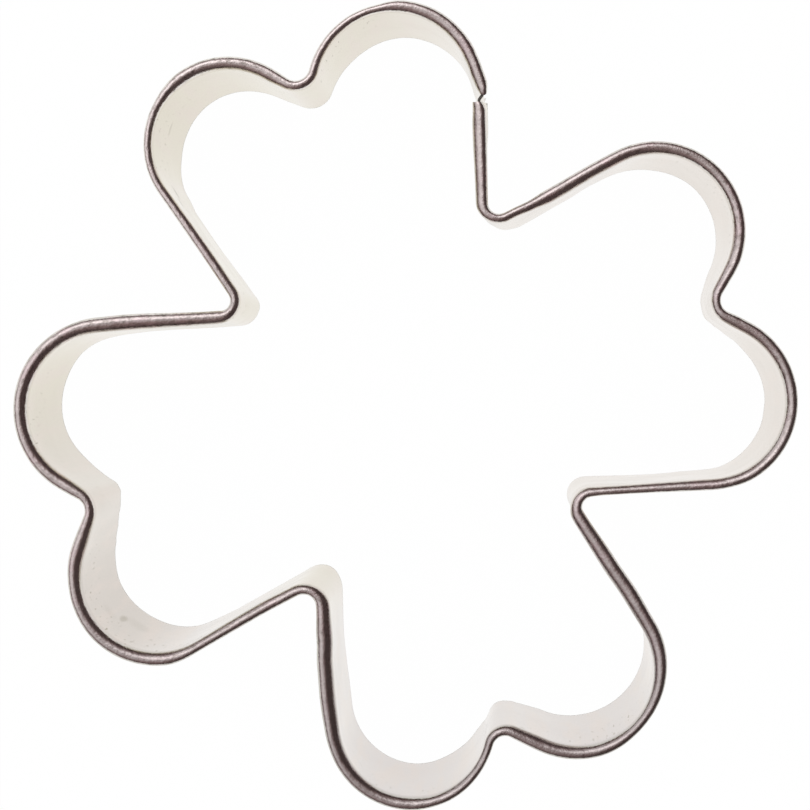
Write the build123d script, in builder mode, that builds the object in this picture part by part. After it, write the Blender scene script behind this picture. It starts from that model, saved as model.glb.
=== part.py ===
from build123d import *
from math import asin, atan2, cos, degrees, hypot, radians, sin, sqrt
import os

os.makedirs("parts", exist_ok=True)

# A cookie cutter in the shape of a four-leaf clover, bent from one steel strip.
# The cutting edge lies on the floor at z = 0 and the folded rim is on top.

# overall sizes
cutter_width = 80.0          # nominal, across two opposite leaves
cutter_height = 22.0         # cutting edge to the top of the rim
half_width = cutter_width / 2

# the strip and the hem that is folded over to its outside
sheet = 0.3                  # thickness of the steel
lap_gap = 0.05               # air between the two lapped sheets at the seam
hem_clearance = 0.25         # air left in the fold when the tongue lies in it
hem_height = 2.2             # how far the folded leg comes down outside
fold_gap = lap_gap + sheet + hem_clearance
rim_width = fold_gap + 2 * sheet

# bends of the strip, to the middle of the sheet
lobe_radius = 8.15           # the two round ends of each leaf
corner_radius = 1.95         # the inner corners between two leaves
notch_radius = 2.3           # the notch in the end of each leaf
kink_radius = 0.4            # the small step of the strip at the seam

# the lapped and welded seam, on the flank of the top leaf
seam_setback = 1.7           # from the round of the leaf back to the square end of the strip
flank_swing = 1.5            # degrees that the square end is sprung outwards
end_run = 4.1                # the straight end of the other side, from the round to the kink
end_swing = 22.0             # degrees that this straight end is sprung outwards
corner_room = 2.0            # from the inner corner to the tip of the bare tongue
tongue_clearance = 1.05      # top of the tongue below the round of the fold
hem_cut_length = 1.2         # length of the slanted cut that ends the hem
weld_diameter = 2.6
weld_dimple = 0.04           # the electrodes leave the weld this much below the sheet
lower_weld_share = 0.28      # heights of the welds, as shares of the bare wall
upper_weld_share = 0.72

overrun = 1.0                # cutting tools reach this far past the metal
touching = 1e-6              # bends this close together meet without a straight run

# Bends, counterclockwise from the seam. A lobe or a corner has its place right and up from
# the middle, as shares of half the width. A notch lies between its two lobes, and has the
# slack that it leaves to the lobe before and after it, as shares of the notch radius. The
# last share in a row is of the radius that this kind of bend has.
bend_shares = [
    ("lobe", -0.030, 0.800, 1.00),
    ("notch", 0.00, 0.09, 0.98),
    ("lobe", -0.453, 0.664, 0.98),
    ("corner", -0.477, 0.264, 0.98),
    ("lobe", -0.774, -0.015, 1.03),
    ("notch", 0.11, 0.24, 1.09),
    ("lobe", -0.640, -0.444, 1.00),
    ("corner", -0.261, -0.524, 1.15),
    ("lobe", 0.017, -0.821, 0.96),
    ("notch", 0.00, 0.22, 0.93),
    ("lobe", 0.437, -0.675, 1.01),
    ("corner", 0.477, -0.264, 0.97),
    ("lobe", 0.770, 0.006, 1.00),
    ("notch", 0.11, 0.11, 1.03),
    ("lobe", 0.636, 0.440, 1.00),
    ("corner", 0.238, 0.515, 1.01),
]


def between(before, after, radius, slack_before, slack_after):
    """A notch bend outside the line from one lobe to the next, this far clear of each."""
    dx, dy = after[0] - before[0], after[1] - before[1]
    apart = hypot(dx, dy)
    reach_before = before[2] + radius + slack_before
    reach_after = after[2] + radius + slack_after
    along = (apart ** 2 + reach_before ** 2 - reach_after ** 2) / (2 * apart)
    out = sqrt(max(0, reach_before ** 2 - along ** 2))
    return before[0] + (along * dx + out * dy) / apart, before[1] + (along * dy - out * dx) / apart, -radius


def heading(start, end):
    """Direction, in degrees, of the straight run from one bend to the next."""
    dx, dy = end[0] - start[0], end[1] - start[1]
    swing = (end[2] - start[2]) / hypot(dx, dy)
    return degrees(atan2(dy, dx) - asin(max(-1, min(1, swing))))


def on_bend(bend, direction):
    """The point of a bend where the strip heads in a direction."""
    x, y, radius = bend
    return x + radius * sin(radians(direction)), y - radius * cos(radians(direction))


def shifted(point, direction, along, outward):
    """A point moved along a direction and to the outside of the strip."""
    ahead_x, ahead_y = cos(radians(direction)), sin(radians(direction))
    return point[0] + along * ahead_x + outward * ahead_y, point[1] + along * ahead_y - outward * ahead_x


def across(point, direction):
    """The upright plane across the strip at a point, with x to the outside and y up."""
    ahead_x, ahead_y = cos(radians(direction)), sin(radians(direction))
    return Plane(origin=point, x_dir=(ahead_y, -ahead_x), z_dir=(-ahead_x, -ahead_y))


def beside(point, direction, outward, height):
    """The upright plane along the strip, this far outside its middle line, facing out."""
    x, y = shifted(point, direction, 0, outward)
    ahead_x, ahead_y = cos(radians(direction)), sin(radians(direction))
    return Plane(origin=(x, y, height), x_dir=(ahead_x, ahead_y), z_dir=(ahead_y, -ahead_x))


# The bends in their places. A positive radius turns left, round a point inside the cutter.
bends = []
for kind, x_share, y_share, radius_share in bend_shares:
    if kind == "lobe":
        bends.append((x_share * half_width, y_share * half_width, radius_share * lobe_radius))
    elif kind == "corner":
        bends.append((x_share * half_width, y_share * half_width, -radius_share * corner_radius))
    else:
        bends.append(None)
for i, (kind, before_share, after_share, radius_share) in enumerate(bend_shares):
    if kind == "notch":
        bends[i] = between(bends[i - 1], bends[i + 1], radius_share * notch_radius,
                           before_share * notch_radius, after_share * notch_radius)

# the outline is centred on the origin
middle_x = (max(x + r for x, y, r in bends) + min(x - r for x, y, r in bends)) / 2
middle_y = (max(y + r for x, y, r in bends) + min(y - r for x, y, r in bends)) / 2
bends = [(x - middle_x, y - middle_y, radius) for x, y, radius in bends]

# places at the seam
seam_lobe, seam_corner = bends[0], bends[-1]
flank_run = heading(seam_corner, seam_lobe)
first_run = flank_run + end_swing
last_run = flank_run - flank_swing
flank_length = hypot(*(a - b for a, b in zip(on_bend(seam_lobe, flank_run), on_bend(seam_corner, flank_run))))
lap_offset = sheet + lap_gap
lap_length = flank_length - seam_setback - corner_room
square_end = shifted(on_bend(seam_corner, last_run), last_run, flank_length - seam_setback, 0)
kink = shifted(on_bend(seam_lobe, first_run), first_run, -end_run, 0)
hem_end = shifted(kink, first_run, kink_radius, 0)
tongue_tip = shifted(square_end, last_run, -lap_length, lap_offset)
tongue_bend = shifted(square_end, last_run, 0, lap_offset)
weld_middle = shifted(square_end, last_run, -lap_length / 2, 0)

# heights and faces of the folded rim, outwards from the middle of the wall
inner_face = -sheet / 2
outer_face = inner_face + rim_width
fold_middle = inner_face + rim_width / 2
fold_height = cutter_height - rim_width / 2
hem_bottom = cutter_height - hem_height

# The middle line of the hemmed strip, from its slanted end round to its square end.
with BuildLine() as strip_line:
    runs = [first_run] + [heading(a, b) for a, b in zip(bends, bends[1:])] + [last_run]
    at = hem_end
    for bend, run_in, run_out in zip(bends, runs, runs[1:]):
        if hypot(on_bend(bend, run_in)[0] - at[0], on_bend(bend, run_in)[1] - at[1]) > touching:
            Line(at, on_bend(bend, run_in))
        turn = (run_out - run_in) % 360
        if bend[2] > 0:
            CenterArc(bend[:2], bend[2], run_in - 90, turn)
        else:
            CenterArc(bend[:2], -bend[2], run_in + 90, turn - 360)
        at = on_bend(bend, run_out)
    Line(at, square_end)

# The middle line of the bare tongue, which steps in behind the square end.
with BuildLine() as tongue_line:
    FilletPolyline(tongue_tip, tongue_bend, kink, hem_end, radius=kink_radius)

# The strip: wall and folded rim in one, the bare tongue, and holes for the two welds.
with BuildPart() as cutter_band:
    with BuildSketch(across(hem_end, first_run)):
        with BuildLine():
            Polyline((-inner_face, fold_height), (-inner_face, 0), (inner_face, 0), (inner_face, fold_height))
            ThreePointArc((inner_face, fold_height), (fold_middle, cutter_height), (outer_face, fold_height))
            Polyline((outer_face, fold_height), (outer_face, hem_bottom),
                     (outer_face - sheet, hem_bottom), (outer_face - sheet, fold_height))
            ThreePointArc((outer_face - sheet, fold_height), (fold_middle, cutter_height - sheet),
                          (-inner_face, fold_height))
        make_face()
    sweep(path=strip_line.wire())

    # the hem ends in a slanted cut, from its outer side to the wall
    with BuildSketch(Plane.XY.offset(hem_bottom - overrun)):
        with BuildLine():
            Polyline(shifted(hem_end, first_run, 0, -inner_face),
                     shifted(hem_end, first_run, -overrun, -inner_face),
                     shifted(hem_end, first_run, -overrun, outer_face + overrun),
                     shifted(hem_end, first_run, hem_cut_length, outer_face + overrun),
                     shifted(hem_end, first_run, hem_cut_length, outer_face), close=True)
        make_face()
    extrude(amount=hem_height + 2 * overrun, mode=Mode.SUBTRACT)

    # the bare tongue
    with BuildSketch(across(tongue_tip, last_run)):
        Rectangle(sheet, fold_height - tongue_clearance, align=(Align.CENTER, Align.MIN))
    sweep(path=tongue_line.wire())

    # weld holes through both sheets
    for share in (lower_weld_share, upper_weld_share):
        with BuildSketch(beside(weld_middle, last_run, inner_face - overrun, share * hem_bottom)):
            Circle(weld_diameter / 2)
        extrude(amount=lap_offset + sheet + 2 * overrun, mode=Mode.SUBTRACT)

cutter_band.part.label = "cutter_band"
export_step(cutter_band.part, "parts/cutter_band.step")


def spot_weld(share):
    """One weld button, seated in its hole through both lapped sheets."""
    with BuildPart() as weld:
        with BuildSketch(beside(weld_middle, last_run, inner_face + weld_dimple, share * hem_bottom)):
            Circle(weld_diameter / 2)
        extrude(amount=lap_offset + sheet - 2 * weld_dimple)
    return weld.part


spot_weld_lower = spot_weld(lower_weld_share)
spot_weld_lower.label = "spot_weld_lower"
export_step(spot_weld_lower, "parts/spot_weld_lower.step")

spot_weld_upper = spot_weld(upper_weld_share)
spot_weld_upper.label = "spot_weld_upper"
export_step(spot_weld_upper, "parts/spot_weld_upper.step")
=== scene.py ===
from bisect import bisect_left
from math import asin, atan2, cos, degrees, hypot, pi, radians, sin

import bmesh
import bpy
from mathutils import Matrix, Vector, noise


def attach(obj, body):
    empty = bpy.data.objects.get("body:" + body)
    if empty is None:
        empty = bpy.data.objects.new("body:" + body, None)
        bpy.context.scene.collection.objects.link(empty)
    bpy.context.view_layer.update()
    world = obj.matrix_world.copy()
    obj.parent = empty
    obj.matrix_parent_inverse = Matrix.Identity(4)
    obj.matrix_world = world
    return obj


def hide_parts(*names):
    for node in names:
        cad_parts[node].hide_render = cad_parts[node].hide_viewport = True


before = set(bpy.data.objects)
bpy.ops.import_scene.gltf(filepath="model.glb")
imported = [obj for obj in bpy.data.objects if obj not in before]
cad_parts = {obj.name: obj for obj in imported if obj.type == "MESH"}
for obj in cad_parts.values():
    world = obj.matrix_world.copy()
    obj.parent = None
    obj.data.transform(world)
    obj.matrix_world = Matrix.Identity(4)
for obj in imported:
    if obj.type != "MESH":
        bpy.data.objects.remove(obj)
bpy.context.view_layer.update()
print("frame:", ", ".join(sorted(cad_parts)))

mm = 0.001

# the camera hangs nearly straight over the cutter, close enough to show the inside of the wall
view = {
    "place": (0.010688, 0.005561, 0.285714),
    "forward": (-0.039799, -0.020479, -0.998998),
    "lens": 114.91,
    "sensor": 36.0,
    "nearest": 0.01,
    "farthest": 20.0,
}
cameraData = bpy.data.cameras.new("photoCamera")
cameraData.lens = view["lens"]
cameraData.sensor_width = view["sensor"]
cameraData.clip_start = view["nearest"]
cameraData.clip_end = view["farthest"]
camera = bpy.data.objects.new("photoCamera", cameraData)
backwards = -Vector(view["forward"]).normalized()
right = Vector((0, 1, 0)).cross(backwards).normalized()
turned = Matrix((right, backwards.cross(right), backwards)).transposed().to_4x4()
camera.matrix_world = Matrix.Translation(view["place"]) @ turned
bpy.context.scene.collection.objects.link(camera)
bpy.context.scene.camera = camera
bpy.context.scene.view_settings.view_transform = "Standard"
print("camera set")


class Wire:  # one output socket; sums and products of wires add Math nodes
    def __init__(self, tree, socket):
        self.tree, self.socket = tree, socket

    def maths(self, operation, first, second):
        return self.tree.node("ShaderNodeMath", {"operation": operation}, {0: first, 1: second})

    def __add__(self, other):
        return self.maths("ADD", self, other)

    def __radd__(self, other):
        return self.maths("ADD", other, self)

    def __sub__(self, other):
        return self.maths("SUBTRACT", self, other)

    def __rsub__(self, other):
        return self.maths("SUBTRACT", other, self)

    def __mul__(self, other):
        return self.maths("MULTIPLY", self, other)

    def __rmul__(self, other):
        return self.maths("MULTIPLY", other, self)


class Nodes:  # a node tree that is filled from left to right
    def __init__(self, owner):
        owner.use_nodes = True
        self.tree = owner.node_tree
        self.tree.nodes.clear()

    def node(self, kind, settings=None, sockets=None, out=0):
        made = self.tree.nodes.new(kind)
        for name, value in (settings or {}).items():
            setattr(made, name, value)
        for name, value in (sockets or {}).items():
            if isinstance(value, Wire):
                self.tree.links.new(value.socket, made.inputs[name])
            else:
                made.inputs[name].default_value = value
        return Wire(self, made.outputs[out]) if len(made.outputs) else made

    def band(self, value, low, high):  # 0 below low, 1 above high, smooth between
        return self.node("ShaderNodeMapRange", {"interpolation_type": "SMOOTHSTEP"},
                         {"Value": value, "From Min": low, "From Max": high})

    def mix(self, share, first, second):  # colours
        sockets = {0: share, 6: first, 7: second}
        return self.node("ShaderNodeMix", {"data_type": "RGBA"}, sockets, out=2)

    def noise(self, place, scale=1.0, detail=3.0, roughness=0.5, shift=0.0):
        moved = self.node("ShaderNodeVectorMath", {"operation": "ADD"},
                          {0: place, 1: (shift, shift, shift)})
        return self.node("ShaderNodeTexNoise", None,
                         {"Vector": moved, "Scale": scale, "Detail": detail, "Roughness": roughness})

    def stretched(self, place, scales):
        return self.node("ShaderNodeMapping", None, {"Vector": place, "Scale": scales})

    def facing(self, direction, towardsLight):
        return self.node("ShaderNodeVectorMath", {"operation": "DOT_PRODUCT"},
                         {0: direction, 1: towardsLight}, out="Value")

    def lightPath(self, ray):
        return self.node("ShaderNodeLightPath", out=ray)


# The strip, in mm: bends counterclockwise from the seam as x, y and radius to the middle of the
# sheet. A negative radius turns right. They are the bends of the solid. Distances are measured
# along the sheet's middle line from the seam, where the hem's slanted end is a little before 0.
strip = {
    "sheet": 0.3,
    "height": 22.0,
    "hemHeight": 2.2,
    "rimMiddle": 0.35,       # the rim's own middle, out from the wall
    "hemEnd": (8.142, 31.932),
    "hemEndAt": -0.45,
    "firstRun": 114.948,     # degrees
    "lastRun": 91.448,
    "squareEnd": (7.495, 31.040),
    "bends": [
        (-0.998, 32.257, 8.150), (-11.102, 34.736, -2.254), (-17.918, 26.817, 7.987),
        (-18.878, 10.817, -1.911), (-30.758, -0.343, 8.395), (-34.436, -10.874, -2.507),
        (-25.398, -17.503, 8.150), (-10.238, -20.703, -2.242), (0.882, -32.583, 7.824),
        (10.557, -34.961, -2.139), (17.682, -26.743, 8.232), (19.282, -10.303, -1.891),
        (31.002, 0.497, 8.150), (33.853, 10.885, -2.369), (25.642, 17.857, 8.150),
        (9.722, 20.857, -1.970),
    ],
    "wallRows": (0.01, 0.5, 2.5, 5.5, 8.5, 11.5, 14.5, 17.2, 19.0, 20.3),
    "foldSteps": 12,
    "legRows": 4,
    "step": 0.42,            # length of one face along the strip
    "shortest": 0.02,        # a straight run below this is left out
    "bendStep": 5.5,         # degrees in the small bends
    "wideBend": 3.0,         # from this radius on, a bend is stepped by length
    # distance from the seam, the rim's width, and how far its middle lies out from the wall
    "rim": [
        (-0.45, 0.66, 0.05), (-0.2, 0.93, 0.10), (0.3, 1.22, 0.19), (0.7, 1.31, 0.23),
        (1.2, 1.35, 0.27), (3, 1.33, 0.41), (4.5, 1.36, 0.43), (6, 1.34, 0.42), (9, 1.33, 0.44),
        (12, 1.22, 0.455),
        (15, 0.80, 0.31), (20, 0.85, 0.27), (27, 1.00, 0.30),
        (30, 1.31, 0.28), (39, 1.27, 0.36), (43, 0.88, 0.32), (47, 0.84, 0.31), (60, 1.02, 0.23),
        (66, 0.99, 0.31), (69, 1.35, 0.21), (78, 1.59, 0.37), (81, 1.54, 0.31), (84, 1.42, 0.32),
        (95, 1.34, 0.37), (102, 1.40, 0.35), (106, 1.01, 0.36), (111, 1.46, 0.42), (115, 1.30, 0.39),
        (120, 1.42, 0.43), (127, 1.39, 0.37), (131, 0.99, 0.18), (138, 1.13, 0.12), (144, 1.05, 0.32),
        (147, 1.41, 0.28), (150, 1.65, 0.38), (153, 1.60, 0.59), (156, 1.59, 0.63), (162, 1.42, 0.35),
        (171, 1.31, 0.375), (174, 1.07, 0.38), (180, 0.82, 0.31), (189, 1.40, 0.41), (194, 1.31, 0.46),
        (199, 1.00, 0.36), (209, 1.49, 0.37), (213, 1.62, 0.45), (217, 1.61, 0.30), (222, 1.41, 0.22),
        (225, 1.05, 0.32), (228, 0.87, 0.26), (240, 1.11, 0.30), (243, 1.18, 0.40), (261, 1.23, 0.37),
        (264, 0.95, 0.34), (270, 1.24, 0.41), (280, 1.24, 0.38), (291, 1.31, 0.28), (297, 1.37, 0.10),
        (299, 1.02, 0.12), (301, 0.90, 0.26), (303, 0.92, 0.31), (306, 1.25, 0.25), (313.6, 1.46, 0.20),
        (315.3, 1.36, 0.22), (316.1, 0.90, 0.01),
    ],
    # distance from the seam, and how far the wall's foot stands out or in there
    "foot": [
        (-0.4, -0.35), (4, 0.13), (11, 0.01), (18.6, -0.32), (26.8, 0.14), (31.1, -0.29),
        (36.1, -0.24), (45.5, -0.36), (51, 0.08), (53.3, 0.39), (57.1, 0.44), (63.9, 0.22),
        (65.7, -0.07), (68.4, -0.30), (77.8, -0.20), (81.5, -0.35), (86.5, -0.03), (90.3, -0.16),
        (95.7, -0.13), (100.2, -0.24), (103.8, 0.10), (104.7, 0.10), (105.4, 0.23), (106.4, 0.50),
        (106.9, 0.54), (108.4, 0.35), (109.2, 0.19), (109.9, 0.01), (110.7, -0.10),
        (111.9, -0.36), (114.6, -0.54), (122.4, -0.75), (129.6, -0.46), (133.8, -0.21),
        (142.1, -0.12), (144.6, -0.44), (146.4, -0.24), (152.4, 0.04), (160.4, -0.19), (169.9, -0.17),
        (175.9, -0.41), (178.4, -0.33), (179.4, -0.29), (180.2, -0.15), (181.0, 0.10), (181.8, 0.20),
        (183.0, 0.17), (184.6, 0.31), (185.6, 0.24), (186.4, 0.13), (187.2, 0.01), (188.4, -0.12),
        (196.6, -0.26),
        (208.3, -0.01), (212.3, 0.13), (217.6, 0.02), (221.9, 0.07), (225.3, -0.14), (233.7, 0.08),
        (239.2, -0.06), (241.9, 0.11), (247.4, 0.05), (250.4, -0.12), (257.1, -0.35), (259.6, -0.23),
        (261.4, 0.02), (262.4, 0.22), (264.4, 0.50), (268.9, -0.12), (278.2, -0.12), (283.9, -0.31),
        (291.7, 0.11), (295.1, -0.10), (300.3, -0.25), (303.8, 0.56), (307.6, -0.05), (315.6, -0.01),
    ],
    # how far the folded leg stands open at its lower edge
    "open": [(0, 0.0), (311, 0.0), (313.6, 0.15), (315.3, 0.18), (316.1, 0.62)],
    "slant": 0.05,           # the hem's slanted end
    "slantReach": 2.0,
    "tipLength": 0.15,       # the last bit of the fold, drawn out and bent down to the tongue
    "tipReach": 0.20,
    "tipDroop": 0.18,
    # the bare tongue goes back from the hem's end: straight length, or radius and degrees
    "tongue": [("bend", 0.17, -60.0), ("run", 0.385), ("bend", -0.35, 36.5), ("run", 8.35)],
    "tongueIn": 0.16,        # its upper edge is sprung in by this much
    "tongueFrom": 0.7,       # the tongue is on its own from this far behind the hem's end
    "roll": 0.21,            # the fold leans out over the wall
    "lift": 4,               # the wall turns to the rim's middle only near its top
    "dip": 0.03,             # the rim's top lies up to twice this much below the full height
    "dipLength": 12.0,
    "wave": 0.030,           # hand-bent unevenness of the wall and the rim
    "waveLength": 9.0,
    "facets": 0.008,         # and small flats where it was pressed
    "facetLength": 1.7,
    "calmFrom": 308.0,       # none of it near the seam
    "calmLength": 4.0,
    "openCurve": 1.5,
    "edgeRounding": 0.035,
    "edgeSegments": 2,
    "edgeAngle": 50,         # degrees: sharper edges are rounded
    "sharpAngle": 40,        # degrees: sharper edges are shaded as edges
    "wallTop": 20.6,         # the wall on the strip map
    "outerShift": 400.0,     # how far the outer face is moved on the strip map
    "outerFacing": 0.3,
}


def eased(table, at, column=1):  # smooth value between the rows of a table
    for before, after in zip(table, table[1:]):
        if at <= after[0]:
            share = max(0.0, (at - before[0]) / (after[0] - before[0]))
            share = share * share * (3 - 2 * share)
            return before[column] + (after[column] - before[column]) * share
    return table[-1][column]


def straightHeading(start, end):
    dx, dy = end[0] - start[0], end[1] - start[1]
    swing = (end[2] - start[2]) / hypot(dx, dy)
    return degrees(atan2(dy, dx) - asin(max(-1.0, min(1.0, swing))))


def outwards(heading):
    return Vector((sin(radians(heading)), -cos(radians(heading)), 0.0))


def onwards(heading):
    return Vector((cos(radians(heading)), sin(radians(heading)), 0.0))


def onlyVerts(geometry):
    return [g for g in geometry if isinstance(g, bmesh.types.BMVert)]


class FootLine:  # the line of the strip's lower edge, station by station
    def __init__(self, bm, tip, heading, distance, way):
        self.bm, self.tip, self.heading, self.distance, self.way = bm, tip, heading, distance, way
        self.stations = [(distance, heading)]

    def run(self, length):
        if length < strip["shortest"]:
            return
        steps = max(1, round(length / strip["step"]))
        for _ in range(steps):
            self.tip = onlyVerts(bmesh.ops.extrude_vert_indiv(self.bm, verts=[self.tip])["verts"])[0]
            part = length / steps * self.way
            bmesh.ops.translate(self.bm, vec=onwards(self.heading) * part, verts=[self.tip])
            self.distance += part
            self.stations.append((self.distance, self.heading))

    def bend(self, radius, turn):  # a negative radius has its middle on the outside
        oneStep = strip["bendStep"]
        if abs(radius) > strip["wideBend"]:
            oneStep = min(oneStep, degrees(strip["step"] / abs(radius)))
        steps = max(2, round(abs(turn) / oneStep))
        centre = self.tip.co - outwards(self.heading) * radius
        spun = bmesh.ops.spin(self.bm, geom=[self.tip], cent=centre, axis=(0, 0, 1),
                              angle=radians(turn), steps=steps, dvec=(0, 0, 0),
                              use_merge=False, use_duplicate=False)
        self.tip = onlyVerts(spun["geom_last"])[0]
        for _ in range(steps):
            self.heading += turn / steps
            self.distance += abs(radians(turn / steps) * radius) * self.way
            self.stations.append((self.distance, self.heading))


# the foot line: round the cutter from the hem's end to the square end, then back along the tongue
bm = bmesh.new()
hemEnd = bm.verts.new((*strip["hemEnd"], 0.0))
line = FootLine(bm, hemEnd, strip["firstRun"], strip["hemEndAt"], 1)
bends = strip["bends"]
line.run(strip["tipLength"])
headings = [straightHeading(a, b) for a, b in zip(bends, bends[1:])]
headings = [strip["firstRun"]] + headings + [strip["lastRun"]]
for (x, y, radius), headingIn, headingOut in zip(bends, headings, headings[1:]):
    start = Vector((x, y, 0.0)) + outwards(headingIn) * radius
    line.heading = headingIn
    line.run((start - line.tip.co).dot(onwards(headingIn)))
    turn = (headingOut - headingIn) % 360
    line.bend(radius, turn if radius > 0 else turn - 360)
squareEnd = Vector((*strip["squareEnd"], 0.0))
line.run((squareEnd - line.tip.co).dot(onwards(strip["lastRun"])))
hemmed = len(line.stations)
print("foot line:", hemmed, "stations,", round(line.distance, 2), "mm")
tongue = FootLine(bm, hemEnd, strip["firstRun"], strip["hemEndAt"], -1)
for kind, *sizes in strip["tongue"]:
    if kind == "run":
        tongue.run(*sizes)
    else:
        tongue.bend(*sizes)
print("tongue ends at", [round(c, 3) for c in tongue.tip.co], "heading", round(tongue.heading, 2))
stations = line.stations + tongue.stations[1:]
bm.verts.ensure_lookup_table()
footPlaces = [vert.co.copy() for vert in bm.verts]
station = bm.verts.layers.int.new("station")
row = bm.verts.layers.int.new("row")
for number, vert in enumerate(bm.verts):
    vert[station] = number

half = strip["sheet"] / 2
usualRadius = strip["rimMiddle"]
usualFold = strip["height"] - half - usualRadius
hemBottom = strip["height"] - strip["hemHeight"]
wallHeights = list(strip["wallRows"]) + [usualFold]
wallCount, foldCount, legCount = len(wallHeights), strip["foldSteps"], strip["legRows"]
# how far across the sheet each level lies, from the foot over the fold to the leg's lower edge
rowPlaces = wallHeights + [usualFold + pi * usualRadius * (n + 1) / foldCount for n in range(foldCount)]
rowPlaces += [rowPlaces[-1] + (usualFold - hemBottom) * (n + 1) / legCount for n in range(legCount)]


def placeOf(number, level):  # where a station's point lies at one level of the section
    distance, heading = stations[number]
    base, out, ahead = footPlaces[number], outwards(heading), onwards(heading)
    inTongue = number >= hemmed
    width, middle = eased(strip["rim"], distance), eased(strip["rim"], distance, 2)
    radius = (width - strip["sheet"]) / 2
    dip = strip["dip"] * noise.noise(Vector((distance / strip["dipLength"], 0.0, 7.7)))
    foldAt = strip["height"] - half - strip["dip"] + dip - radius
    # the welds hold the sheets true
    calm = max(0.0, min(1.0, distance / strip["calmLength"],
                        (strip["calmFrom"] - distance) / strip["calmLength"]))
    uneven = calm * strip["wave"] * noise.noise(Vector((distance / strip["waveLength"], 4.2, 0.0)))
    slide = 0.0
    fromEnd = distance - strip["hemEndAt"]
    slanted = strip["slant"] * max(0.0, 1 - fromEnd / strip["slantReach"])
    if level < wallCount:
        share = wallHeights[level] / usualFold
        height = foldAt * share
        waves = Vector((distance / strip["waveLength"], share * 1.3, 1.0))
        flats = Vector((distance / strip["facetLength"], share * 0.7, 3.0))
        sway = 2 * strip["wave"] * noise.noise(waves) + 2 * strip["facets"] * noise.noise(flats)
        outward = eased(strip["foot"], distance) * (1 - share)
        outward += (middle - radius) * share ** strip["lift"]
        outward += calm * sway * (1 - share ** 6) + uneven * share
        if inTongue:
            sprung = min(1.0, -fromEnd / strip["tongueFrom"])
            height += (wallHeights[level] - height) * sprung
            outward += (-strip["tongueIn"] * share - outward) * sprung
    elif level < wallCount + foldCount:
        angle = pi * (level - wallCount + 1) / foldCount
        outward = middle - radius * cos(angle) + strip["roll"] * radius * sin(angle) + uneven
        tip = sin(angle) * max(0.0, 1 - fromEnd / strip["tipLength"])
        height = foldAt + radius * sin(angle) - strip["tipDroop"] * tip
        slide = slanted * (1 - cos(angle)) / 2 - strip["tipReach"] * tip
    else:
        share = (level - wallCount - foldCount + 1) / legCount
        opened = eased(strip["open"], distance) * share ** strip["openCurve"]
        outward = middle + radius + opened + uneven
        height = foldAt + (hemBottom - foldAt) * share
        slide = slanted * (1 + 0.4 * share)
    place = base + out * outward + ahead * slide
    place.z = height
    return place


# the section grows out of the foot line: up the wall, over the round fold and down the leg
edges = list(bm.edges)
for vert in list(bm.verts):
    vert.co = placeOf(vert[station], 0)
for level in range(1, len(rowPlaces)):
    if level == len(strip["wallRows"]):  # the bare tongue stops below the fold
        edges = [e for e in edges if max(v[station] for v in e.verts) < hemmed]
    grown = bmesh.ops.extrude_edge_only(bm, edges=edges)["geom"]
    fresh = set(onlyVerts(grown))
    edges = [g for g in grown if isinstance(g, bmesh.types.BMEdge) and set(g.verts) <= fresh]
    for vert in fresh:
        vert[row] = level
        vert.co = placeOf(vert[station], level)

# strip map: distance along the strip and distance across the sheet, in mm
stripMap = bm.loops.layers.uv.new("stripMap")
for face in bm.faces:
    face.smooth = True
    for loop in face.loops:
        loop[stripMap].uv = (stations[loop.vert[station]][0], rowPlaces[loop.vert[row]])
bmesh.ops.recalc_face_normals(bm, faces=bm.faces)
bmesh.ops.scale(bm, vec=(mm, mm, mm), verts=bm.verts)
bandMesh = bpy.data.meshes.new("cutterBand")
bm.to_mesh(bandMesh)
bm.free()
band = bpy.data.objects.new("cutterBand", bandMesh)
bpy.context.scene.collection.objects.link(band)
print("strip shaped:", len(bandMesh.polygons), "faces")


# Spot welds, in mm: for each the solid that it replaces, its height and how far it is moved out.
# The outline of one button is given as radius and distance below the sheet's face, from the
# middle out: a shallow dimple, then the ring that the electrode squeezed up.
weld = {
    "middle": (7.599, 26.923),
    "heading": 91.448,
    "buttons": {
        "spotWeldLower": ("spot_weld_lower", 5.544, 0.0),
        "spotWeldUpper": ("spot_weld_upper", 14.256, -0.07),
    },
    "inside": -0.15,
    "outside": 0.50,
    "dimple": [
        (0.0, 0.050), (0.45, 0.048), (0.85, 0.036), (1.10, 0.012), (1.24, -0.012),
        (1.34, -0.016), (1.42, 0.004), (1.45, 0.030),
    ],
    "hole": 1.3,
    "holeLength": 3.0,
    "steps": 72,
    "merging": 0.0005,       # points this close together become one
    # the ring that the heat left, in mm from the weld's middle, and how uneven it is
    "heated": (0.0024, 0.0013),
    "heatUneven": 0.0008,
    "heatShare": 0.7,
}


def weldPlace(height, shift):  # turns a piece modelled round +Z, at the origin, into its place
    out, up = outwards(weld["heading"]), Vector((0, 0, 1))
    sideways = up.cross(out)
    axes = Matrix((sideways, up, out)).transposed().to_4x4()
    return Matrix.Translation(Vector((*weld["middle"], height)) + out * shift) @ axes


def finishMesh(bm, name):
    mesh = bpy.data.meshes.new(name)
    bm.to_mesh(mesh)
    bm.free()
    made = bpy.data.objects.new(name, mesh)
    bpy.context.scene.collection.objects.link(made)
    return made


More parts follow.
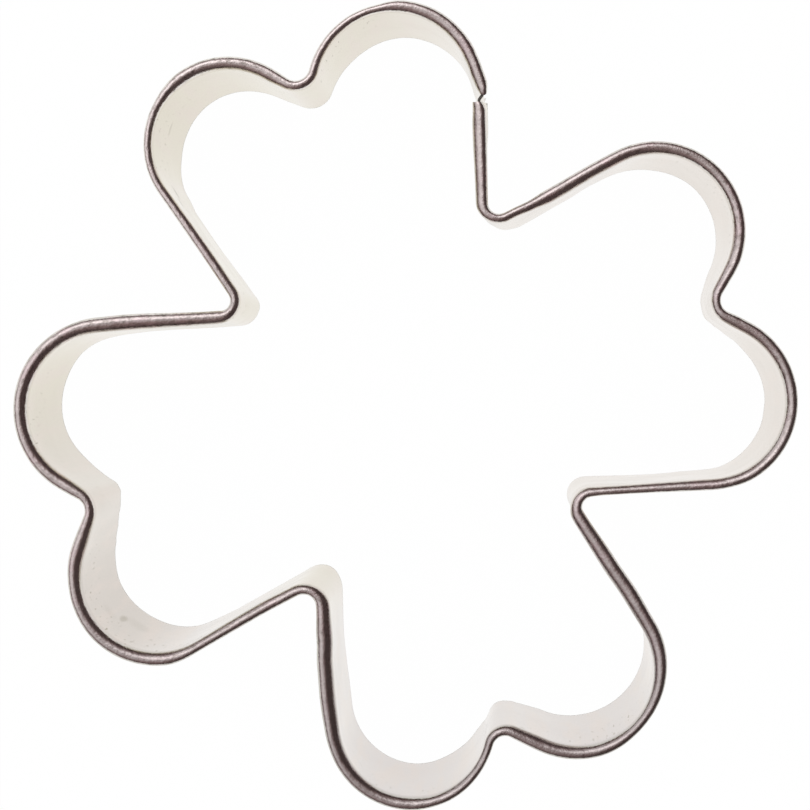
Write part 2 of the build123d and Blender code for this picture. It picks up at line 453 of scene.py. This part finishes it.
holes = []
buttons = {}
for name, (node, height, shift) in weld["buttons"].items():
    bm = bmesh.new()
    chain = [(r, weld["outside"] - d) for r, d in weld["dimple"]]
    chain += [(r, weld["inside"] + d) for r, d in reversed(weld["dimple"])]
    verts = [bm.verts.new((r, 0, z)) for r, z in chain]
    edges = [bm.edges.new(pair) for pair in zip(verts, verts[1:])]
    bmesh.ops.spin(bm, geom=verts + edges, cent=(0, 0, 0), axis=(0, 0, 1), angle=2 * pi,
                   steps=weld["steps"], dvec=(0, 0, 0), use_merge=True, use_duplicate=False)
    bmesh.ops.remove_doubles(bm, verts=bm.verts, dist=weld["merging"])
    bmesh.ops.recalc_face_normals(bm, faces=bm.faces)
    for face in bm.faces:
        face.smooth = True
    bmesh.ops.transform(bm, matrix=Matrix.Scale(mm, 4) @ weldPlace(height, shift), verts=bm.verts)
    buttons[name] = finishMesh(bm, name)
    bm = bmesh.new()
    bmesh.ops.create_cone(bm, cap_ends=True, segments=weld["steps"], radius1=weld["hole"],
                          radius2=weld["hole"], depth=weld["holeLength"])
    bmesh.ops.transform(bm, matrix=Matrix.Scale(mm, 4) @ weldPlace(height, 0.0), verts=bm.verts)
    holes.append(finishMesh(bm, name + "Hole"))
print("welds modelled")

# the sheet gets its thickness, its weld holes and rounded raw edges
thick = band.modifiers.new("sheetThickness", "SOLIDIFY")
thick.thickness = strip["sheet"] * mm
thick.offset = 0.0
thick.use_even_offset = True
thick.use_rim = True
thick.material_offset_rim = 1
for hole in holes:
    cut = band.modifiers.new("weldHole", "BOOLEAN")
    cut.operation = "DIFFERENCE"
    cut.solver = "EXACT"
    cut.object = hole
rounded = band.modifiers.new("rawEdges", "BEVEL")
rounded.width = strip["edgeRounding"] * mm
rounded.segments = strip["edgeSegments"]
rounded.limit_method = "ANGLE"
rounded.angle_limit = radians(strip["edgeAngle"])
rounded.harden_normals = False
print("strip thickened")


tin = {
    "bright": (0.77, 0.735, 0.69, 1),
    "worn": (0.66, 0.63, 0.595, 1),
    "pink": (0.76, 0.665, 0.655, 1),
    "fresh": (0.93, 0.895, 0.845, 1),      # painted light and shade: the rim is painted brighter at the back and darker in front
    "rimPaintedShade": (0.52, 0.50, 0.475, 1),
    "wall": (0.66, 0.625, 0.53, 1),        # the wall is yellower than the rim
    # painted reflection and shade: the wall's colour changes with its side of the cutter
    "wallRightPaintedReflection": (0.635, 0.58, 0.56, 1),
    "wallLowPaintedReflection": (0.61, 0.58, 0.61, 1),
    "wallLeftPaintedShade": (0.575, 0.535, 0.52, 1),
    "blotch": (0.67, 0.58, 0.55, 1),
    "grime": (0.36, 0.34, 0.30, 1),
    "speck": (0.13, 0.10, 0.03, 1),
    "openHemPaintedReflection": (0.80, 0.78, 0.74, 1),       # the opened hem at the seam, painted brighter: a painted reflection of the white table
    "cut": (0.10, 0.095, 0.085, 1),
    "heat": (0.50, 0.41, 0.33, 1),
    "edgeTint": (0.975, 0.95, 0.90, 1),    # at a flat angle
    # marks on the wall: along the strip, up the wall, half length, half height, in mm, and how dark
    "marks": [
        (32.8, 19.0, 0.25, 0.6, 0.6), (44.2, 11.6, 1.0, 0.6, 0.3), (51.3, 12.5, 1.0, 1.2, 0.8),
        (52.7, 14.4, 0.8, 1.0, 0.7), (118.9, 13.0, 1.2, 2.0, 0.1), (120.4, 10.0, 0.45, 2.0, 0.45),
        (122.5, 8.5, 2.0, 2.4, 0.12), (123.1, 18.2, 0.15, 0.8, 0.4), (124.6, 13.2, 0.3, 0.8, 0.3),
        (125.4, 15.7, 0.12, 1.0, 0.5), (126.4, 15.7, 0.2, 0.7, 0.45), (128.4, 16.7, 0.15, 1.0, 0.45),
        (186.1, 20.0, 0.4, 0.5, 0.5), (191.4, 18.5, 0.12, 0.8, 0.5), (193.9, 18.6, 0.15, 1.2, 0.4),
        (195.4, 19.0, 0.12, 0.6, 0.45), (196.2, 19.6, 0.15, 0.6, 0.5),
    ],
    "markEdge": (1.2, 0.2),                # a mark fades between these shares of its size
    "markUneven": 1.2,
    "bumpHeight": 0.00003,
    "metallic": 1.0,
    "glint": 0.5,
    "cutMetallic": 0.5,
    "cutGlint": 0.2,
}

# Where the strip's surface changes. Along and across are mm on the strip map, side and depth are
# metres to the right and to the back. Each range goes from not at all to fully.
where = {
    "rim": ("across", (20.9, 21.7)),
    "aboveLeg": ("across", (23.3, 22.6)),
    "leg": ("across", (22.6, 23.4)),
    "upperWall": ("across", (8.0, 17.0)),
    "inside": ("along", (380.0, 340.0)),
    "opened": ("along", (312.5, 314.5)),
    "back": ("depth", (0.004, 0.026)),
    "front": ("depth", (-0.010, -0.034)),
    "lowFront": ("depth", (-0.016, -0.026)),
    "farLeftDepth": ("depth", (0.006, -0.016)),
    "seamDepth": ("depth", (0.022, 0.006)),
    "leftHalf": ("side", (0.008, -0.004)),
    "rightHalf": ("side", (0.012, 0.024)),
    "rightWall": ("side", (-0.012, 0.02)),
    "farLeft": ("side", (-0.022, -0.030)),
}

# Noises laid out in space, per metre, and on the strip map, stretched along and across.
spaceNoises = {
    "grain": {"scale": 3600.0, "detail": 3.0, "roughness": 0.8},
    "smudge": {"scale": 160.0, "detail": 4.0, "roughness": 0.62, "shift": 3.1},
    "cast": {"scale": 420.0, "detail": 3.0, "roughness": 0.6, "shift": 14.0},
}
stripNoises = {
    "patches": ((0.75, 1.9, 1.0), {"detail": 3.0, "roughness": 0.6, "shift": 5.0}),
    "streaks": ((1.4, 5.0, 1.0), {"detail": 3.0, "roughness": 0.65, "shift": 9.0}),
    "rubbedIn": ((0.05, 0.25, 1.0), {"detail": 1.0, "shift": 11.0}),
    "blotches": ((0.45, 0.06, 1.0), {"detail": 3.0, "roughness": 0.55}),
    "dirty": ((0.07, 0.05, 1.0), {"detail": 1.0, "shift": 2.0}),
    "specks": ((2.6, 0.42, 1.0), {"detail": 2.0, "roughness": 0.6, "shift": 7.0}),
}


def tinnedSteel(name, cutEdge=False):
    nodes = Nodes(bpy.data.materials.new(name))
    place = nodes.node("ShaderNodeTexCoord", out=3)
    chart = nodes.node("ShaderNodeUVMap", {"uv_map": "stripMap"})
    measured = {
        "along": nodes.node("ShaderNodeSeparateXYZ", None, {"Vector": chart}, out="X"),
        "across": nodes.node("ShaderNodeSeparateXYZ", None, {"Vector": chart}, out="Y"),
        "side": nodes.node("ShaderNodeSeparateXYZ", None, {"Vector": place}, out="X"),
        "depth": nodes.node("ShaderNodeSeparateXYZ", None, {"Vector": place}, out="Y"),
    }

    def at(region):
        axis, limits = where[region]
        return nodes.band(measured[axis], *limits)

    grain, smudge, cast = (nodes.noise(place, **spaceNoises[kind]) for kind in spaceNoises)
    patches, streaks, rubbedIn, blotches, dirty, specks = (
        nodes.noise(nodes.stretched(chart, scales), **settings)
        for scales, settings in stripNoises.values())
    onRim = at("rim")
    onFold = onRim * at("aboveLeg")

    # the rim: bright, with fine grain, worn patches, grimy streaks and a pink cast in places, and
    # painted light and shade: painted brighter at the back left, painted darker in front and on the
    # right
    rimTint = nodes.mix(nodes.band(patches, 0.35, 0.68), tin["bright"], tin["worn"])
    rimTint = nodes.mix(nodes.band(cast, 0.50, 0.64) * 0.7, rimTint, tin["pink"])
    # painted light: the rim at the back left is painted brighter
    rimTint = nodes.mix(at("back") * at("leftHalf") * 0.55, rimTint, tin["fresh"])
    # painted shade: the rim in front and on the right is painted darker
    rimTint = nodes.mix(at("front") * 0.7, rimTint, tin["rimPaintedShade"])
    rimTint = nodes.mix(at("rightHalf") * at("seamDepth") * 0.3, rimTint, tin["rimPaintedShade"])
    rimTint = nodes.mix(nodes.band(grain, 0.52, 0.32) * onFold * 0.32, rimTint, tin["grime"])
    streaky = nodes.band(streaks, 0.50, 0.66) * nodes.band(rubbedIn, 0.42, 0.60) * onFold
    rimTint = nodes.mix(streaky * 0.75, rimTint, tin["grime"])

    # the wall: yellowish, with faint blotches, specks and a few marks, and a painted reflection of its
    # surroundings: painted pinker on the right and low in front, and darker on the far left in front
    wallTint = nodes.mix(at("rightWall"), tin["wall"], tin["wallRightPaintedReflection"])
    wallTint = nodes.mix(at("lowFront"), wallTint, tin["wallLowPaintedReflection"])
    wallTint = nodes.mix(at("farLeft") * at("farLeftDepth"), wallTint, tin["wallLeftPaintedShade"])
    wallTint = nodes.mix(nodes.band(blotches, 0.42, 0.66) * 0.5, wallTint, tin["blotch"])
    dirt = nodes.band(specks, 0.62, 0.70) * nodes.band(dirty, 0.46, 0.56) * at("upperWall")
    dirt = dirt * at("inside") * 0.7
    for markAlong, markAcross, halfLength, halfHeight, darkness in tin["marks"]:
        moved = nodes.node("ShaderNodeMapping", None, {
            "Vector": chart, "Scale": (1 / halfLength, 1 / halfHeight, 1.0),
            "Location": (-markAlong / halfLength, -markAcross / halfHeight, 0.0)})
        reach = nodes.node("ShaderNodeVectorMath", {"operation": "LENGTH"}, {0: moved}, out="Value")
        reach = reach + tin["markUneven"] * (blotches - 0.5)
        dirt = dirt + nodes.band(reach, *tin["markEdge"]) * darkness
    wallTint = nodes.mix(dirt, wallTint, tin["speck"])
    tint = nodes.mix(onRim, wallTint, rimTint)

    # the hem stands open at the seam; its leg is painted brighter there, a painted reflection of the
    # white table
    tint = nodes.mix(at("opened") * at("leg"), tint, tin["openHemPaintedReflection"])

    # the welds are ringed brown by heat
    for node, height, shift in weld["buttons"].values():
        middle = Vector((*weld["middle"], height)) * mm
        away = nodes.node("ShaderNodeVectorMath", {"operation": "DISTANCE"},
                          {0: place, 1: middle}, out="Value")
        ring = nodes.band(away + weld["heatUneven"] * (patches - 0.5), *weld["heated"])
        tint = nodes.mix(ring * weld["heatShare"], tint, tin["heat"])
    rough = 0.11 + 0.05 * nodes.band(smudge, 0.3, 0.75)
    rough = rough + 0.06 * nodes.band(patches, 0.35, 0.7) * onRim
    if cutEdge:
        tint = nodes.mix(nodes.band(grain, 0.40, 0.62) * 0.4, tin["cut"], tin["grime"])
        rough = 0.45 + 0.2 * nodes.band(grain, 0.35, 0.65)
    height = ((grain - 0.5) * 0.8 + (patches - 0.5) * 2.0) * onFold
    height = height + 0.9 * (blotches - 0.5) * (1 - onFold)
    bump = nodes.node("ShaderNodeBump", None, {
        "Strength": 1.0, "Distance": tin["bumpHeight"], "Height": height})
    shader = nodes.node("ShaderNodeBsdfPrincipled", None, {
        "Base Color": tint, "Roughness": rough, "Normal": bump, "Specular Tint": tin["edgeTint"],
        "Metallic": tin["cutMetallic" if cutEdge else "metallic"],
        "Specular IOR Level": tin["cutGlint" if cutEdge else "glint"]})
    nodes.node("ShaderNodeOutputMaterial", None, {"Surface": shader})
    return bpy.data.materials[name]


steel = tinnedSteel("stripSteel")
rawEdge = tinnedSteel("cutEdgeSteel", cutEdge=True)
weldMetal = tinnedSteel("weldSteel")
bandMesh.materials.append(steel)
bandMesh.materials.append(rawEdge)
depsgraph = bpy.context.evaluated_depsgraph_get()
finished = bpy.data.meshes.new_from_object(band.evaluated_get(depsgraph))
band.modifiers.clear()
band.data = finished
finished.name = "cutterBand"
finished.set_sharp_from_angle(angle=radians(strip["sharpAngle"]))

# the wall's outer face gets its own stretch of the strip map, so the marks inside don't show there
finishedMap = finished.uv_layers["stripMap"].data
ordered = sorted(stations)
for face in finished.polygons:
    places = [finishedMap[loop].uv for loop in face.loop_indices]
    if max(place.y for place in places) < strip["wallTop"]:
        nearest = ordered[min(bisect_left(ordered, (places[0].x,)), len(ordered) - 1)]
        if face.normal.dot(outwards(nearest[1])) > strip["outerFacing"]:
            for place in places:
                place.x += strip["outerShift"]
for hole in holes:
    bpy.data.objects.remove(hole)
for button in buttons.values():
    button.data.materials.append(weldMetal)
print("band:", len(finished.polygons), "faces")

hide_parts("cutter_band")
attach(band, "root")
for name, (node, height, shift) in weld["buttons"].items():
    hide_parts(node)
    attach(buttons[name], "root")

# white table, which keeps a faint shadow
table = {
    "size": 4.0,
    "sink": 0.00002,         # below the cutting edge
    "paper": (0.95, 0.95, 0.95, 1),
    "white": (1, 1, 1, 1),
    "plainShare": 0.992,     # the rest of what is seen shows the shadow
    # seen in the metal, the table is darker far away on the right and in front
    "dimTowards": (0.87, -0.5, 0.0),
    "dimFrom": (0.07, 0.12),
    "dimmed": (0.3, 0.3, 0.3, 1),
}
bm = bmesh.new()
bmesh.ops.create_grid(bm, x_segments=1, y_segments=1, size=table["size"])
bmesh.ops.translate(bm, vec=(0, 0, -table["sink"]), verts=bm.verts)
floor = finishMesh(bm, "whiteTable")
nodes = Nodes(bpy.data.materials.new("whitePaper"))
reflected = nodes.lightPath("Is Glossy Ray")
seen = nodes.lightPath("Is Camera Ray") + reflected + nodes.lightPath("Is Transmission Ray")
paper = nodes.node("ShaderNodeBsdfDiffuse", None, {"Color": table["paper"]})
reach = nodes.facing(nodes.node("ShaderNodeTexCoord", out=3), table["dimTowards"])
far = reflected * nodes.band(reach, *table["dimFrom"])
glow = nodes.node("ShaderNodeEmission", None, {
    "Color": nodes.mix(far, table["white"], table["dimmed"]), "Strength": 1.0})
mixed = nodes.node("ShaderNodeMixShader", None, {0: seen * table["plainShare"], 1: paper, 2: glow})
nodes.node("ShaderNodeOutputMaterial", None, {"Surface": mixed})
floor.data.materials.append(bpy.data.materials["whitePaper"])

# Studio: a lamp high up in the upper left, a wide soft light lower on the left, and dark all
# round the horizon. Where a light comes from is its azimuth and elevation; it grows from its
# edge to its middle, both given as the cosine of the angle from there.
studio = {
    "dark": 0.052,
    "lamp": {"from": (111.0, 62.5), "edge": 0.89, "middle": 1.42, "strength": 7.0},
    "soft": {"from": (150.6, 38.8), "edge": 0.20, "middle": 1.26, "strength": 1.07},
    "horizon": (-0.1, 0.87),
    # the left keeps some light down to the table
    "glow": {"from": (150.0, 4.0), "edge": 0.86, "middle": 1.0, "strength": 0.40},
    "fill": {"from": (-125.0, 42.0), "edge": 0.72, "middle": 1.0, "strength": 0.14},
    "darkTint": (1.30, 0.85, 0.85, 1),
    "lightTint": (1.05, 0.955, 1.0, 1),
    "tinted": (0.0, 0.6),
    "plain": (1, 1, 1, 1),   # what lights the paper, and what the camera sees
}


def towards(azimuth, elevation):
    azimuth, elevation = radians(azimuth), radians(elevation)
    return (cos(azimuth) * cos(elevation), sin(azimuth) * cos(elevation), sin(elevation))


world = bpy.data.worlds.new("studio")
bpy.context.scene.world = world
nodes = Nodes(world)
direction = nodes.node("ShaderNodeTexCoord", out="Object")


def lightFrom(light):
    facing = nodes.facing(direction, towards(*light["from"]))
    return nodes.band(facing, light["edge"], light["middle"]) * light["strength"]


up = nodes.node("ShaderNodeSeparateXYZ", None, {"Vector": direction}, out="Z")
sky = lightFrom(studio["lamp"]) + lightFrom(studio["soft"])
sky = sky * nodes.band(up, *studio["horizon"]) + studio["dark"]
sky = lightFrom(studio["glow"]) + sky
sky = lightFrom(studio["fill"]) + sky
tint = nodes.mix(nodes.band(sky, *studio["tinted"]), studio["darkTint"], studio["lightTint"])
sky = nodes.node("ShaderNodeVectorMath", {"operation": "SCALE"}, {0: tint, "Scale": sky})
straight = nodes.lightPath("Is Camera Ray") + nodes.lightPath("Is Transmission Ray")
colour = nodes.mix(nodes.lightPath("Is Glossy Ray"), studio["plain"], sky)
colour = nodes.mix(straight, colour, studio["plain"])
shader = nodes.node("ShaderNodeBackground", None, {"Color": colour, "Strength": 1.0})
nodes.node("ShaderNodeOutputWorld", None, {"Surface": shader})
print("studio lit")
